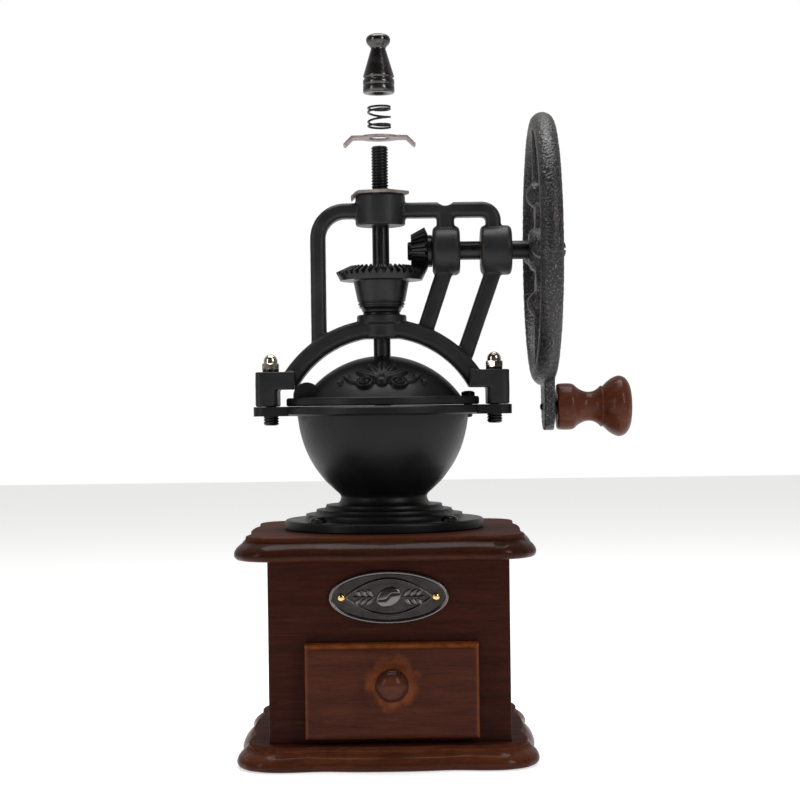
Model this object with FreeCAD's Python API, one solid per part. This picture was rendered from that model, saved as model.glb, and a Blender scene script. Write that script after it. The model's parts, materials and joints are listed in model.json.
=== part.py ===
import FreeCAD, Part
import math
import os

# Hand-cranked box coffee mill: wooden cabinet with a drawer, cast-iron hopper,
# open cast yoke carrying a bevel gear pair, and a hand wheel with a wooden knob.
# Millimetres. Z is up and is the axis of the grinding spindle; z = 0 is the
# underside of the base plate. The drawer faces -Y and the hand wheel is on +X.

V = FreeCAD.Vector

# ---- driving dimensions -------------------------------------------------
SPINDLE_R = 4.0            # 8 mm grinding spindle
THREAD_R = 3.95            # major radius of the 5/16-18 thread
THREAD_PITCH = 1.411       # 18 threads per inch
RUN = 0.05                 # radial running clearance on every shaft
SHAFT_R = 4.4              # crank shaft
AXIS_Z = 232.7             # height of the crank shaft axis

PLATE_HALF = 68.0          # widest half width of base and top plates
CABINET_X = 2.0            # the cabinet stands this far off the spindle, toward the wheel
BASE_X = 0.9               # the base plate this far
TOP_X = 0.6                # and the top plate this far
DRAWER_FRONT_X = 1.0       # the drawer front sits this far off the middle of its opening
BASE_T = 10.5              # base plate thickness
TOP_Z0 = 92.0              # underside of the top plate
TOP_Z1 = 102.3             # upper face of the top plate
TIER_H = 8.0               # height of the round-over tier of a plate
TIER_INSET = 5.0           # inset of the upper tier

BOX_HALF = 53.75           # cabinet half width
PANEL_T = 8.0              # cabinet panel thickness

DRAWER_HALF = 38.4         # drawer front half width
DRAWER_Z0 = 13.3
DRAWER_Z1 = 55.1
DRAWER_T = 7.9
OPEN_HALF = 36.0           # drawer opening half width
OPEN_Z0 = 14.0
OPEN_Z1 = 54.0
DRAWER_END_Y = 40.0        # rear face of the drawer

FOOT_R = 46.8              # hopper foot radius
FOOT_Z1 = 106.9
SPOT_Z = 106.5             # spot faces under the foot screw heads
RIM_R = 46.8
RIM_Z0 = 155.6
RIM_Z1 = 160.0
LUG_X = 60.4               # end of the hopper ears
BURR_SEAT_R = 17.2

STUD_X = 52.8              # yoke stud positions
STUD_R = 3.6               # threaded end screwed through the hopper ear
STUD_TOP_R = 2.4           # upper end through the yoke foot into the cap nut
STUD_Z0 = 151.2
STUD_PITCH = 1.27

ARCH_Z = 145.6             # centre height of the yoke arch
ARCH_RI = 46.6
ARCH_RO = 55.2
BAR_W = 7.2                # yoke bar width in the XZ plane
BAR_D = 10.0               # yoke bar depth along Y
TOPBAR_Z = 251.9           # centre height of the top bar

MODULE = 1.05              # bevel gear module
GEAR_TEETH = 40
PINION_TEETH = 20
FACE_W = 7.4               # bevel face width along the cone
ADD = 0.80 * MODULE
DED = 1.02 * MODULE
BACKLASH = 0.10            # total tooth thinning at the pitch line

WHEEL_R = 64.2
RIM_X0 = 71.1
RIM_X1 = 81.2
HANDLE_Z = 158.4           # axis of the handle knob

LID_R = 45.5
LID_Z0 = 160.1
LID_Z1 = 164.0
DOME_R = 44.9
DOME_Z = 138.6
DOME_T = 2.2
PIVOT_X = 40.3             # lid pivot

LOCK_TOP = 287.2           # lifted lock plate
SPRING_Z0 = 291.0
SPRING_H = 10.7            # free height of the lock spring
NUT_Z = 307.6


# ---- helpers ------------------------------------------------------------
def box(x0, x1, y0, y1, z0, z1):
    return Part.makeBox(x1 - x0, y1 - y0, z1 - z0, V(x0, y0, z0))


def rod(r, z0, z1, x=0.0, y=0.0):
    return Part.makeCylinder(r, z1 - z0, V(x, y, z0), V(0, 0, 1))


def rod_x(r, x0, x1, z=AXIS_Z, y=0.0):
    return Part.makeCylinder(r, x1 - x0, V(x0, y, z), V(1, 0, 0))


def rod_y(r, y0, y1, x=0.0, z=0.0):
    return Part.makeCylinder(r, y1 - y0, V(x, y0, z), V(0, 1, 0))


def lathe(start, *steps):
    # Solid of revolution about Z from a (radius, height) outline.
    # L: straight lines, A: arc through a point, S: smooth curve through points.
    edges = []
    here = V(start[0], 0, start[1])
    first = here
    for step in steps:
        pts = [V(p[0], 0, p[1]) for p in step[1:]]
        if step[0] == "L":
            for p in pts:
                edges.append(Part.makeLine(here, p))
                here = p
        elif step[0] == "A":
            edges.append(Part.Arc(here, pts[0], pts[1]).toShape())
            here = pts[1]
        else:
            curve = Part.BSplineCurve()
            curve.interpolate([here] + pts)
            edges.append(curve.toShape())
            here = pts[-1]
    if (here - first).Length > 1e-6:
        edges.append(Part.makeLine(here, first))
    face = Part.Face(Part.Wire(edges))
    return face.revolve(V(0, 0, 0), V(0, 0, 1), 360)


def turned_x(solid, z=AXIS_Z):
    # Lay a lathe solid along +X on the line at height z.
    solid = solid.copy()
    solid.rotate(V(0, 0, 0), V(0, 1, 0), 90)
    solid.translate(V(0, 0, z))
    return solid


def turned_front(solid, x, z):
    # Lay a lathe solid so its height runs toward -Y, starting at y = 0.
    solid = solid.copy()
    solid.rotate(V(0, 0, 0), V(1, 0, 0), 90)
    solid.translate(V(x, 0, z))
    return solid


def fuse(shapes):
    out = shapes[0]
    if len(shapes) > 1:
        out = out.multiFuse(shapes[1:])
    return out.removeSplitter()


def cut(shape, tools):
    if not tools:
        return shape
    return shape.cut(tools)


def section(w, d, r):
    # Rounded rectangle face in the XY plane, w along X and d along Y.
    a = w / 2.0
    b = d / 2.0
    k = r * (1.0 - math.sqrt(0.5))
    edges = []
    corners = [(a, b, 1, 1), (-a, b, -1, 1), (-a, -b, -1, -1), (a, -b, 1, -1)]
    ends = []
    for x, y, sx, sy in corners:
        on_x = V(x - sx * r, y, 0)
        on_y = V(x, y - sy * r, 0)
        mid = V(x - sx * k, y - sy * k, 0)
        if sx * sy > 0:
            ends.append((on_y, mid, on_x))
        else:
            ends.append((on_x, mid, on_y))
    for i in range(4):
        p, mid, q = ends[i]
        edges.append(Part.Arc(p, mid, q).toShape())
        edges.append(Part.makeLine(q, ends[(i + 1) % 4][0]))
    return Part.Face(Part.Wire(edges))


def bar(p, q, w=BAR_W, d=BAR_D, r=2.6):
    # Rounded bar in the XZ plane from p to q, each (x, z).
    dx = q[0] - p[0]
    dz = q[1] - p[1]
    length = math.hypot(dx, dz)
    solid = section(w, d, r).extrude(V(0, 0, length))
    solid.rotate(V(0, 0, 0), V(0, 1, 0), math.degrees(math.atan2(dx, dz)))
    solid.translate(V(p[0], 0, p[1]))
    return solid


def bend(cx, cz, radius, a0, a1, w=BAR_W, d=BAR_D, r=2.6):
    # Rounded bar curved about (cx, cz); angles from +X toward +Z.
    face = section(w, d, r)
    face.rotate(V(0, 0, 0), V(0, 0, 1), 0)
    face.translate(V(radius, 0, 0))
    face.rotate(V(0, 0, 0), V(0, -1, 0), a0)
    face.translate(V(cx, 0, cz))
    return face.revolve(V(cx, 0, cz), V(0, -1, 0), a1 - a0)


def soft_box(x0, x1, y0, y1, z0, z1, r):
    solid = box(x0, x1, y0, y1, z0, z1)
    return solid.makeFillet(r, solid.Edges)


def hexagon(flats, z0, z1, x=0.0, y=0.0, turn=30.0):
    r = flats / math.sqrt(3.0)
    pts = []
    for i in range(7):
        a = math.radians(turn + 60.0 * i)
        pts.append(V(x + r * math.cos(a), y + r * math.sin(a), z0))
    return Part.Face(Part.makePolygon(pts)).extrude(V(0, 0, z1 - z0))


def wood_screw(length, head_r, shank_r, head_h):
    # Countersunk screw, head face at z = 0, point toward +Z.
    return lathe((0, 0), ("L", (head_r, 0), (shank_r, head_h), (shank_r, length - 2.5),
                          (0.4, length), (0, length)))


nodes = {}

# ---- wooden plates ------------------------------------------------------
# One eighth of the wavy plan outline: a wide middle lobe, a shallow dip and a
# rounded corner lobe. Values are (distance along the side, half width).
WAVE = [(0, 68.0), (10, 67.85), (19, 67.1), (25, 66.3), (29.5, 65.95), (34, 66.2),
        (40, 67.0), (46, 67.5), (51, 67.25), (55.6, 66.1), (59.4, 64.1), (62.1, 62.1)]


def plan_points(inset):
    scale = (PLATE_HALF - inset) / PLATE_HALF
    octant = [(a * scale, b * scale) for a, b in WAVE]
    quarter = [(a, -b) for a, b in octant]
    quarter += [(b, -a) for a, b in reversed(octant[:-1])]
    out = []
    for turn in range(4):
        c = [1, 0, -1, 0][turn]
        s = [0, 1, 0, -1][turn]
        for x, y in quarter[:-1]:
            out.append((c * x - s * y, s * x + c * y))
    return out


def plan_prism(inset, z0, z1):
    pts = [V(x, y, z0) for x, y in plan_points(inset)]
    curve = Part.BSplineCurve()
    curve.interpolate(Points=pts, PeriodicFlag=True)
    face = Part.Face(Part.Wire([curve.toShape()]))
    return face.extrude(V(0, 0, z1 - z0))


def edges_at(shape, z):
    out = []
    for edge in shape.Edges:
        b = edge.BoundBox
        if abs(b.ZMin - z) < 0.01 and abs(b.ZMax - z) < 0.01:
            out.append(edge)
    return out


# Edge moulding of a plate: (height, inset from the widest outline).
MOULD = [(0.0, 2.0), (0.35, 1.1), (1.0, 0.45), (2.2, 0.0), (3.6, 0.2), (5.0, 0.95), (6.2, 2.1),
         (7.2, 3.5), (7.8, 4.4), (8.0, 4.75)]


def plan_wire(inset, z):
    pts = [V(x, y, z) for x, y in plan_points(inset)]
    curve = Part.BSplineCurve()
    curve.interpolate(Points=pts, PeriodicFlag=True)
    return Part.Wire([curve.toShape()])


def wavy_plate(z0, thick):
    lower = Part.makeLoft([plan_wire(inset, z0 + h) for h, inset in MOULD], True, False)
    upper = plan_prism(TIER_INSET, z0 + TIER_H - 1.0, z0 + thick)
    upper = upper.makeFillet(0.7, edges_at(upper, z0 + thick))
    return lower.fuse(upper)


screw_xy = [(-30.0, -30.0), (30.0, -30.0), (30.0, 30.0), (-30.0, 30.0)]
base_screw_xy = [(-49.75, -34.0), (49.75, -34.0), (49.75, 34.0), (-49.75, 34.0)]

base_screws = []
for x, y in base_screw_xy:
    screw = wood_screw(26.0, 3.6, 1.7, 2.2)
    screw.translate(V(x, y, 0.4))
    base_screws.append(screw)
base_holes = []
for x, y in base_screw_xy:
    hole = lathe((0, -1), ("L", (3.6, -1), (3.6, 0.4), (1.7, 2.6), (1.7, 23.9), (0.4, 26.4), (0, 26.4)))
    hole.translate(V(x, y, 0))
    base_holes.append(hole)

foot_screws = []
foot_holes = []
for x, y in screw_xy:
    screw = lathe((0, 90.5), ("L", (1.9, 93.0), (1.9, SPOT_Z), (3.8, SPOT_Z), (3.8, 107.9)),
                  ("A", (2.7, 109.1), (0.5, 109.5)), ("L", (0, 109.5)))
    slot = box(-4.5, 4.5, -0.45, 0.45, 108.7, 110.5)
    slot.rotate(V(0, 0, 0), V(0, 0, 1), 20.0 + x + 0.4 * y)
    screw = screw.cut(slot)
    screw.translate(V(x, y, 0))
    foot_screws.append(screw)
    hole = lathe((0, 90.5), ("L", (1.9, 93.0), (1.9, 120.0), (0, 120.0)))
    hole.translate(V(x, y, 0))
    foot_holes.append(hole)

base_plate = wavy_plate(0.0, BASE_T)
base_plate.translate(V(BASE_X - CABINET_X, 0, 0))
nodes["base_plate"] = cut(base_plate, base_holes)

CHUTE_R = 27.0             # round passage for the grounds
top_plate = wavy_plate(TOP_Z0, TOP_Z1 - TOP_Z0)
top_plate.translate(V(TOP_X, 0, 0))
nodes["top_plate"] = cut(top_plate, [rod(CHUTE_R, TOP_Z0 - 1, TOP_Z1 + 1)] + foot_holes)

# ---- cabinet panels -----------------------------------------------------
b = BOX_HALF
t = PANEL_T
front = box(-b, b, -b, -b + t, BASE_T, TOP_Z0)
corner_edges = [e for e in front.Edges if abs(e.BoundBox.ZLength - (TOP_Z0 - BASE_T)) < 0.01
                and e.BoundBox.YMin < -b + 0.01]
front = front.makeFillet(0.8, corner_edges)
front = front.cut(box(-OPEN_HALF, OPEN_HALF, -b - 1, -b + t + 1, OPEN_Z0, OPEN_Z1))
nodes["front_panel"] = front
back = box(-b, b, b - t, b, BASE_T, TOP_Z0)
back_edges = [e for e in back.Edges if abs(e.BoundBox.ZLength - (TOP_Z0 - BASE_T)) < 0.01
              and e.BoundBox.YMax > b - 0.01]
nodes["back_panel"] = back.makeFillet(0.8, back_edges)
nodes["left_panel"] = cut(box(-b, -b + t, -b + t, b - t, BASE_T, TOP_Z0), base_holes)
nodes["right_panel"] = cut(box(b - t, b, -b + t, b - t, BASE_T, TOP_Z0), base_holes)
guides = []
for side in (-1, 1):
    lo = min(side * 29.0, side * 35.5)
    hi = max(side * 29.0, side * 35.5)
    guides.append(box(lo, hi, -b + t, b - t, BASE_T, OPEN_Z0))
    lo = min(side * 36.0, side * 41.0)
    hi = max(side * 36.0, side * 41.0)
    guides.append(box(lo, hi, -b + t, b - t, BASE_T, 26.0))
nodes["drawer_guides"] = Part.makeCompound(guides)
nodes["base_screws"] = Part.makeCompound(base_screws)

# ---- nameplate ----------------------------------------------------------
PLATE_Z = 75.1
PLATE_W = 26.6             # half width of the oval
PLATE_H = 11.75


def ellipse_prism(ax, az, y0, y1, x=0.0, z=PLATE_Z, turn=0.0):
    face = Part.Face(Part.Wire([Part.Ellipse(V(0, 0, 0), ax, az).toShape()]))
    face.rotate(V(0, 0, 0), V(0, 0, 1), turn)
    face.rotate(V(0, 0, 0), V(1, 0, 0), 90)
    face.translate(V(x, y1, z))
    return face.extrude(V(0, y0 - y1, 0))


yf = -BOX_HALF
badge = ellipse_prism(PLATE_W, PLATE_H, yf - 1.0, yf)
rim_ring = ellipse_prism(PLATE_W, PLATE_H, yf - 1.7, yf - 0.5).cut(
    ellipse_prism(PLATE_W - 1.2, PLATE_H - 1.2, yf - 2.0, yf - 0.9))
inner_ring = ellipse_prism(23.9, 9.6, yf - 1.4, yf - 0.5).cut(
    ellipse_prism(23.3, 9.0, yf - 2.0, yf - 0.9))
bean = ellipse_prism(5.6, 4.0, yf - 1.6, yf - 0.5, 0.0, PLATE_Z, 25.0)
crease = ellipse_prism(4.6, 0.45, yf - 2.0, yf - 1.2, 0.0, PLATE_Z, 25.0)
leaves = []
for side in (-1, 1):
    for step in range(2):
        x = side * (9.0 + 5.0 * step)
        tilt = side * (18.0 - 36.0 * step)
        leaves.append(ellipse_prism(3.4, 1.3, yf - 1.4, yf - 0.5, x, PLATE_Z + 1.2 - 2.4 * step, tilt))
badge = fuse([badge, rim_ring, inner_ring, bean.cut(crease)] + leaves)
pins = []
pin_holes = []
for side in (-1, 1):
    pin = lathe((0, -6.0), ("L", (0.9, -5.0), (0.9, 1.0), (1.88, 1.0), (1.88, 1.3)),
                ("A", (1.3, 2.15), (0.4, 2.5)), ("L", (0, 2.5)))
    pin = turned_front(pin, side * 21.0, PLATE_Z)
    pin.translate(V(0, yf, 0))
    pins.append(pin)
    hole = lathe((0, -6.0), ("L", (0.9, -5.0), (0.9, 1.0), (0.9, 4.0), (0, 4.0)))
    hole = turned_front(hole, side * 21.0, PLATE_Z)
    hole.translate(V(0, yf, 0))
    pin_holes.append(hole)
pad = []
for side in (-1, 1):
    head = turned_front(lathe((0, 1.0), ("L", (1.88, 1.0), (1.88, 4.0), (0, 4.0))), side * 21.0, PLATE_Z)
    head.translate(V(0, yf, 0))
    pad.append(head)
nodes["nameplate"] = cut(badge, pin_holes + pad)
nodes["nameplate_pins"] = Part.makeCompound(pins)
nodes["front_panel"] = cut(nodes["front_panel"], pin_holes)

# ---- drawer -------------------------------------------------------------
y_front = -BOX_HALF - 0.1 - DRAWER_T
y_back = -BOX_HALF - 0.1
dfront = box(-DRAWER_HALF, DRAWER_HALF, y_front, y_back, DRAWER_Z0, DRAWER_Z1)
face_edges = [e for e in dfront.Edges if e.BoundBox.YMax < y_front + 0.01]
dfront = dfront.makeFillet(2.8, face_edges)
KNOB_Z = 38.2
nodes["drawer_front"] = dfront.cut(rod_y(1.7, y_front - 1, y_back + 1, 0.0, KNOB_Z))
WALL = 6.0
dz0 = OPEN_Z0 + 0.2
dz1 = OPEN_Z1 - 0.6
dx = OPEN_HALF - 0.5
side_l = box(-dx, -dx + WALL, y_back, DRAWER_END_Y, dz0, dz1)
side_r = box(dx - WALL, dx, y_back, DRAWER_END_Y, dz0, dz1)
groove = box(-dx + 3.0, dx - 3.0, y_back - 1, DRAWER_END_Y - 3.0, dz0 + 2.0, dz0 + 5.0)
nodes["drawer_left_side"] = side_l.cut(groove)
nodes["drawer_right_side"] = side_r.cut(groove)
nodes["drawer_back"] = box(-dx + WALL, dx - WALL, DRAWER_END_Y - WALL, DRAWER_END_Y, dz0, dz1).cut(groove)
nodes["drawer_bottom"] = box(-dx + 3.0, dx - 3.0, y_back, DRAWER_END_Y - 3.0, dz0 + 2.0, dz0 + 5.0)
knob = lathe((1.7, 0), ("L", (4.6, 0), (4.6, 0.8)),
             ("S", (3.7, 2.2), (3.5, 4.0), (4.4, 5.6), (6.4, 6.4)),
             ("A", (7.3, 8.2), (6.4, 10.4)),
             ("S", (4.6, 12.3), (2.4, 13.4), (0, 13.8)),
             ("L", (0, 9.5), (1.7, 9.5)))
knob = turned_front(knob, 0.0, KNOB_Z)
knob.translate(V(0, y_front, 0))
nodes["drawer_knob"] = knob
kscrew = lathe((0, 0), ("L", (2.9, 0), (3.5, 0.5), (3.5, 1.6), (1.7, 1.6),
                       (1.7, 1.6 + DRAWER_T + 9.3), (0, 1.6 + DRAWER_T + 9.3)))
kscrew = turned_front(kscrew, 0.0, KNOB_Z)
kscrew.translate(V(0, y_back + 1.6, 0))
nodes["drawer_knob_screw"] = kscrew

cabinet = ["base_plate", "front_panel", "back_panel", "left_panel", "right_panel", "drawer_guides",
           "base_screws", "nameplate", "nameplate_pins", "drawer_front", "drawer_left_side",
           "drawer_right_side", "drawer_back", "drawer_bottom", "drawer_knob", "drawer_knob_screw"]
for name in cabinet:
    nodes[name].translate(V(CABINET_X, 0, 0))
for name in ("drawer_front", "drawer_knob", "drawer_knob_screw"):
    nodes[name].translate(V(DRAWER_FRONT_X, 0, 0))

# ---- hopper casting -----------------------------------------------------
OUTER = [(20.3, 117.2), (20.9, 118.5), (22.4, 119.9), (24.0, 121.4), (25.5, 122.8), (28.2, 125.6),
         (30.4, 128.5), (32.4, 131.3), (34.0, 134.1), (35.5, 137.0), (36.7, 139.8), (37.7, 142.6),
         (38.5, 145.5), (39.2, 148.3), (39.7, 151.0), (40.4, 155.6)]
INNER = [(37.4, 155.6), (36.7, 151.0), (35.6, 145.5), (33.9, 139.8), (31.2, 134.1), (27.6, 128.5),
         (22.8, 123.4), (17.2, 119.2)]
bowl = lathe((BURR_SEAT_R, TOP_Z1), ("L", (FOOT_R - 0.6, TOP_Z1), (FOOT_R, TOP_Z1 + 0.6),
                                       (FOOT_R, FOOT_Z1 - 1.2)),
             ("A", (FOOT_R - 0.35, FOOT_Z1 - 0.35), (FOOT_R - 1.2, FOOT_Z1)),
             ("L", (39.2, FOOT_Z1)),
             ("A", (37.6, 107.5), (36.9, 109.3)),
             ("L", (34.2, 109.3)),
             ("A", (32.6, 109.9), (31.9, 111.4)),
             ("L", (28.9, 111.4)),
             ("A", (27.8, 112.2), (27.3, 113.6)),
             ("L", (22.6, 113.6)),
             ("S", (21.0, 115.0), OUTER[0]),
             ("S", *OUTER[1:]),
             ("L", (RIM_R - 0.8, RIM_Z0), (RIM_R, RIM_Z0 + 0.8), (RIM_R, RIM_Z1 - 0.8),
              (RIM_R - 0.8, RIM_Z1),
              (37.9, RIM_Z1), (37.4, RIM_Z1 - 0.5), INNER[0]),
             ("S", *INNER[1:]))
ears = []
for side in (-1, 1):
    lo = min(side * 43.0, side * (LUG_X - 9.0))
    hi = max(side * 43.0, side * (LUG_X - 9.0))
    slab = box(lo, hi, -15.0, 15.0, RIM_Z0, RIM_Z1)
    lo = min(side * (LUG_X - 9.0), side * LUG_X)
    hi = max(side * (LUG_X - 9.0), side * LUG_X)
    tip = box(lo, hi, -15.0, 15.0, RIM_Z0, RIM_Z1)
    ups = [e for e in tip.Edges if e.BoundBox.ZLength > 1.0
           and abs(e.BoundBox.XMin - side * LUG_X) < 0.01]
    tip = tip.makeFillet(6.0, ups)
    ears.append(slab)
    ears.append(tip)
bowl = fuse([bowl] + ears)
hopper_tools = [rod(STUD_R, 150, 165, -STUD_X), rod(STUD_R, 150, 165, STUD_X)]
hopper_tools.append(rod(2.0, 148.0, 165, PIVOT_X))
for x, y in screw_xy:
    hopper_tools.append(rod(4.5, SPOT_Z, 114.0, x, y))
BRIDGE_Y = 20.5
for y in (-BRIDGE_Y, BRIDGE_Y):
    hopper_tools.append(rod(2.0, 100.0, 109.0, 0.0, y))
nodes["hopper_bowl"] = cut(bowl, hopper_tools + foot_holes)
nodes["hopper_screws"] = Part.makeCompound(foot_screws)

# ---- burrs and lower bearing -------------------------------------------
BURR_Z0 = 103.6
BURR_Z1 = 117.4
BURR_R0 = 13.2
BURR_R1 = 6.5
GAP = 1.3                  # radial gap at the coarsest setting
slope = (BURR_R0 - BURR_R1) / (BURR_Z1 - BURR_Z0)


def burr_r(z):
    return BURR_R0 - (z - BURR_Z0) * slope


def flutes(count, z0, z1, off, wide, sweep):
    # Tapered cutters lying along the burr cone, offset outward by off.
    out = []
    for i in range(count):
        r0 = burr_r(z0) + off
        r1 = burr_r(z1) + off
        a0 = 2 * math.pi * i / count
        a1 = a0 + sweep
        p = V(r0 * math.cos(a0), r0 * math.sin(a0), z0)
        q = V(r1 * math.cos(a1), r1 * math.sin(a1), z1)
        out.append(Part.makeCylinder(wide, (q - p).Length, p, q - p))
    return out


inner_burr = lathe((SPINDLE_R, BURR_Z0), ("L", (BURR_R0, BURR_Z0), (BURR_R1, BURR_Z1), (SPINDLE_R, BURR_Z1)))
nodes["inner_burr"] = cut(inner_burr, flutes(12, BURR_Z0 - 2.0, BURR_Z1 + 2.0, 0.35, 1.0, 0.45))
ring = lathe((burr_r(104.5) + GAP, 104.5), ("L", (BURR_SEAT_R, 104.5), (BURR_SEAT_R, 117.5),
                                           (burr_r(117.5) + GAP, 117.5)))
nodes["outer_burr"] = cut(ring, flutes(14, 102.5, 119.5, GAP - 0.35, 1.0, -0.4))

bridge = fuse([box(-5.5, 5.5, -20.5, 20.5, 93.5, 97.5),
               rod(5.5, 93.5, TOP_Z1, 0.0, -BRIDGE_Y), rod(5.5, 93.5, TOP_Z1, 0.0, BRIDGE_Y),
               rod(8.0, 91.0, 97.5)])
nodes["lower_bearing_bridge"] = cut(bridge, [rod(3.5 + RUN, 90, 99), rod(2.0, 90, 110, 0, -BRIDGE_Y),
                                             rod(2.0, 90, 110, 0, BRIDGE_Y)])
bridge_screws = []
for y in (-BRIDGE_Y, BRIDGE_Y):
    s = lathe((0, 91.5), ("L", (3.6, 91.5), (3.6, 93.5), (2.0, 93.5), (2.0, 109.0), (0, 109.0)))
    s.translate(V(0, y, 0))
    bridge_screws.append(s)
nodes["bridge_screws"] = Part.makeCompound(bridge_screws)

# ---- spindle ------------------------------------------------------------
thread = []
z = 257.0
while z + THREAD_PITCH < 281.8:
    thread.append((THREAD_R, z + 0.18))
    thread.append((THREAD_R - 0.66, z + 0.62))
    thread.append((THREAD_R - 0.66, z + 0.84))
    thread.append((THREAD_R, z + 1.28))
    z += THREAD_PITCH
spindle = lathe((0, 86.0), ("L", (2.9, 86.0), (3.5, 86.6), (3.5, BURR_Z0 - 0.2), (SPINDLE_R, BURR_Z0 - 0.2),
                            (SPINDLE_R, BURR_Z1), (5.6, BURR_Z1), (5.6, 119.4), (SPINDLE_R, 121.0),
                            (SPINDLE_R, 256.6), *thread, (THREAD_R, 281.7), (THREAD_R - 0.7, 282.4),
                            (0, 282.4)))
KEY_R0 = 2.9
KEY_R1 = 5.4
nodes["spindle"] = spindle.cut(box(-1.05, 1.05, KEY_R0, 6.0, 201.5, 226.0))
nodes["burr_nut"] = hexagon(12.0, 99.3, BURR_Z0 - 0.2).cut(rod(3.5, 98, 105))

# ---- bevel gears --------------------------------------------------------
CONE = math.hypot(GEAR_TEETH, PINION_TEETH) * MODULE / 2.0
K_IN = (CONE - FACE_W) / CONE


def inv(a):
    return math.tan(a) - a


def gap_profile(teeth, delta):
    # Half outline of a tooth space in the back-cone plane: (sideways, height).
    virtual = teeth / math.cos(delta)
    rp = virtual * MODULE / 2.0
    rb = rp * math.cos(math.radians(20))
    half = []
    steps = 6
    for i in range(steps + 1):
        rho = rp - DED + (DED + ADD + 0.5) * i / steps
        use = max(rho, rb)
        alpha = math.acos(min(1.0, rb / use))
        tooth = math.pi / (2 * virtual) + inv(math.radians(20)) - inv(alpha)
        tooth -= BACKLASH / 2.0 / rp
        space = math.pi / virtual - tooth
        half.append((rho * math.sin(space), rho * math.cos(space) - rp))
    return half


def tooth_spaces(teeth, delta, axis, side, phase):
    # Pyramids from the cone apex through every tooth space.
    # axis: unit vector from the apex along the gear; side: unit vector at angle 0.
    other = axis.cross(side)
    half = gap_profile(teeth, delta)
    ring = [(-x, y) for x, y in half] + [(x, y) for x, y in reversed(half)]
    out = []
    for i in range(teeth):
        a = phase + 2 * math.pi * i / teeth
        radial = side * math.cos(a) + other * math.sin(a)
        along = other * math.cos(a) - side * math.sin(a)
        u = radial * math.sin(delta) + axis * math.cos(delta)
        n = radial * math.cos(delta) - axis * math.sin(delta)
        pts = []
        for x, y in ring:
            pts.append(APEX + (u * CONE + along * x + n * y) * 1.2)
        faces = [Part.Face(Part.makePolygon(pts + [pts[0]]))]
        for j in range(len(pts)):
            faces.append(Part.Face(Part.makePolygon([pts[j], pts[(j + 1) % len(pts)], APEX, pts[j]])))
        solid = Part.Solid(Part.makeShell(faces))
        if solid.Volume < 0:
            solid.reverse()
        out.append(solid)
    return out


APEX = V(0, 0, AXIS_Z)
DELTA_G = math.atan2(GEAR_TEETH, PINION_TEETH)
DELTA_P = math.atan2(PINION_TEETH, GEAR_TEETH)
RG = GEAR_TEETH * MODULE / 2.0
RPN = PINION_TEETH * MODULE / 2.0
cg = math.cos(DELTA_G)
sg = math.sin(DELTA_G)


def gear_point(k, h):
    # (radius, z) of the crown gear at cone fraction k, height h above the pitch cone.
    return (k * RG + h * cg, AXIS_Z - k * RPN + h * sg)


def pinion_point(k, h):
    return (k * RPN + h * sg, k * RG - h * cg)


tip_out = gear_point(1.0, ADD)
tip_in = gear_point(K_IN, ADD * K_IN)
low_out = gear_point(1.0, -3.55)
low_in = gear_point(K_IN, -1.6)
crown = lathe((SPINDLE_R + RUN, 203.6),
              ("L", (8.2, 203.6), (9.0, 204.2)),
              ("S", (9.5, 205.3), (10.7, 206.4)),
              ("L", (10.75, 206.6), (10.4, 206.8), (10.45, 207.2), (10.95, 207.4), (11.05, 208.1),
               (10.65, 208.4), (10.7, 208.8), (11.2, 209.0), (13.1, 218.4)),
              ("A", (13.4, 218.85), (14.0, 219.0)),
              ("L", (low_out[0], 219.0), low_out, tip_out, tip_in, low_in,
               (9.0, low_in[1]), (8.2, low_in[1] + 0.5), (SPINDLE_R + RUN, low_in[1] + 0.5)))
crown = cut(crown, [box(-1.0, 1.0, 0.0, KEY_R1, 202, 228)])
crown = cut(crown, tooth_spaces(GEAR_TEETH, DELTA_G, V(0, 0, -1), V(1, 0, 0), math.pi / GEAR_TEETH))
nodes["crown_gear"] = crown
nodes["gear_key"] = box(-1.0, 1.0, KEY_R0 + 0.05, KEY_R1, 204.0, 223.5)
nodes["thrust_washer"] = rod(8.8, 202.8, 203.6).cut(rod(SPINDLE_R + RUN, 202, 204))

ptip_out = pinion_point(1.0, ADD)
ptip_in = pinion_point(K_IN, ADD * K_IN)
plow_out = pinion_point(1.0, -2.5)
plow_in = pinion_point(K_IN, -1.3)
pinion = lathe((SHAFT_R, plow_in[1]), ("L", plow_in, ptip_in, ptip_out, plow_out, (7.6, 22.1), (7.6, 23.8),
                                      (7.2, 24.2), (SHAFT_R, 24.2)))
pinion = turned_x(pinion)
pinion = cut(pinion, tooth_spaces(PINION_TEETH, DELTA_P, V(1, 0, 0), V(0, 0, -1), 0.0))
PIN_X = 23.1
nodes["pinion"] = pinion.cut(rod_y(0.8, -9, 9, PIN_X, AXIS_Z))
nodes["pinion_pin"] = rod_y(0.8, -7.4, 7.4, PIN_X, AXIS_Z)

# ---- crank shaft and hand wheel ----------------------------------------
HUB_X1 = 82.5
shaft = lathe((0, 12.6), ("L", (3.8, 12.6), (SHAFT_R, 13.2), (SHAFT_R, HUB_X1), (2.2, HUB_X1),
                          (2.2, 70.0), (0, 70.0)))
shaft = turned_x(shaft)
nodes["crank_shaft"] = shaft.cut(rod_y(0.8, -9, 9, PIN_X, AXIS_Z))
cap = lathe((0, 70.0), ("L", (2.2, 70.0), (2.2, HUB_X1), (5.0, HUB_X1), (5.0, 84.6)),
            ("A", (3.6, 86.6), (0.6, 87.3)), ("L", (0, 87.3)))
nodes["wheel_screw"] = turned_x(cap).cut(box(86.2, 89, -6, 6, AXIS_Z - 0.6, AXIS_Z + 0.6))

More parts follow.
